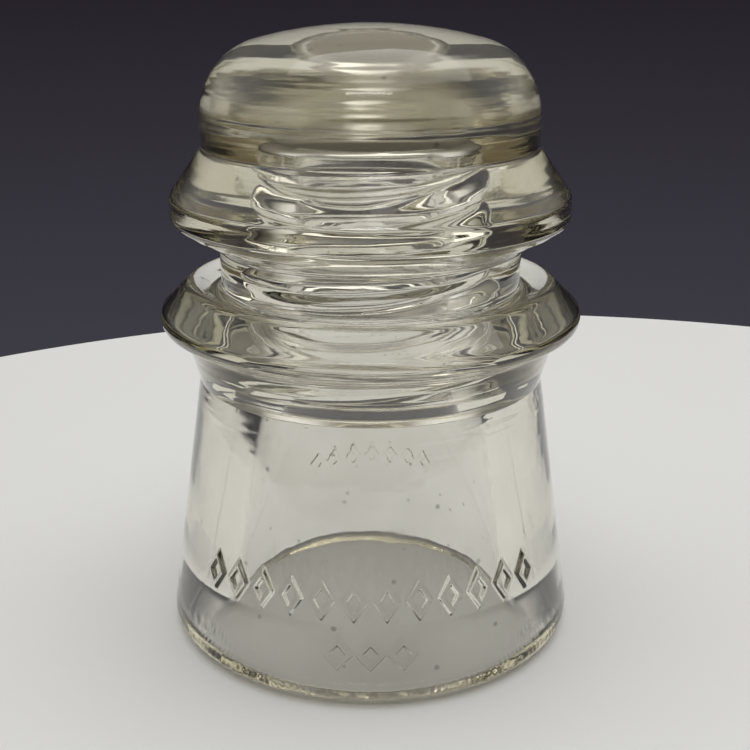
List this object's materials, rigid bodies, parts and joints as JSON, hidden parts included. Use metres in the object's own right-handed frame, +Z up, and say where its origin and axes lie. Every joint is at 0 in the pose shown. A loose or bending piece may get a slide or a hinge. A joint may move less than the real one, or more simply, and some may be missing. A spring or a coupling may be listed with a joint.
{
  "type": "fence insulator",
  "caption": "Clear glass pin-type insulator with a domed crown, a side wire groove between two flanges, and a flared skirt around a threaded pinhole.",
  "frame": {"origin": "centre of the ring that the skirt stands on, in the plane of that ring", "axes": "+Z up along the pinhole's axis, from the skirt to the crown; +X and +Y are any two square directions, as the outline is round"},
  "size_m": [0.0696, 0.0696, 0.1016],
  "materials": {
    "glass": "clear pressed glass, glossy, very faint straw tint"
  },
  "bodies": {
    "root": {"glass_body": "glass"}
  },
  "joints": []
}
